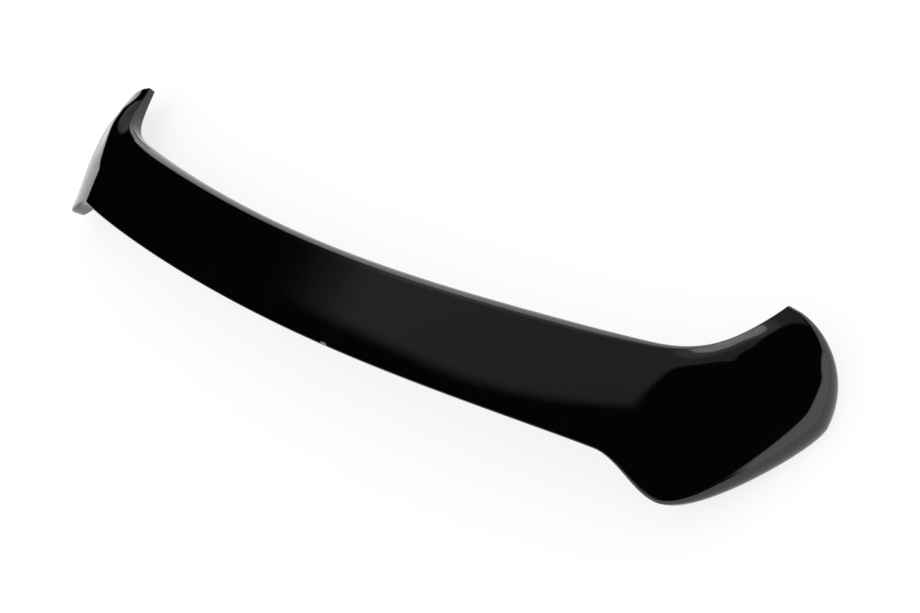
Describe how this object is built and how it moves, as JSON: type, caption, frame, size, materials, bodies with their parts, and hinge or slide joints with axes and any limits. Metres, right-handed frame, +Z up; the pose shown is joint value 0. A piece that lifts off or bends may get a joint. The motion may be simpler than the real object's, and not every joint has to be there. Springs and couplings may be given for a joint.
{
  "type": "boot lid spoiler",
  "caption": "Gloss black boot lid spoiler: a wide crowned blade whose drooping ends spread into rounded lobes with forward-pointing fins, fastened from below.",
  "frame": {"origin": "middle of the overall box, on the level of the lowest edges of the lobes", "axes": "+X across the car, +Y to the front of the car, where the fins point, +Z up from the lid"},
  "size_m": [1.2334, 0.2334, 0.1074],
  "materials": {
    "gloss_black": "gloss",
    "brass": "satin"
  },
  "bodies": {
    "root": {"spoiler_body": "gloss_black", "threaded_inserts": "brass"}
  },
  "joints": []
}
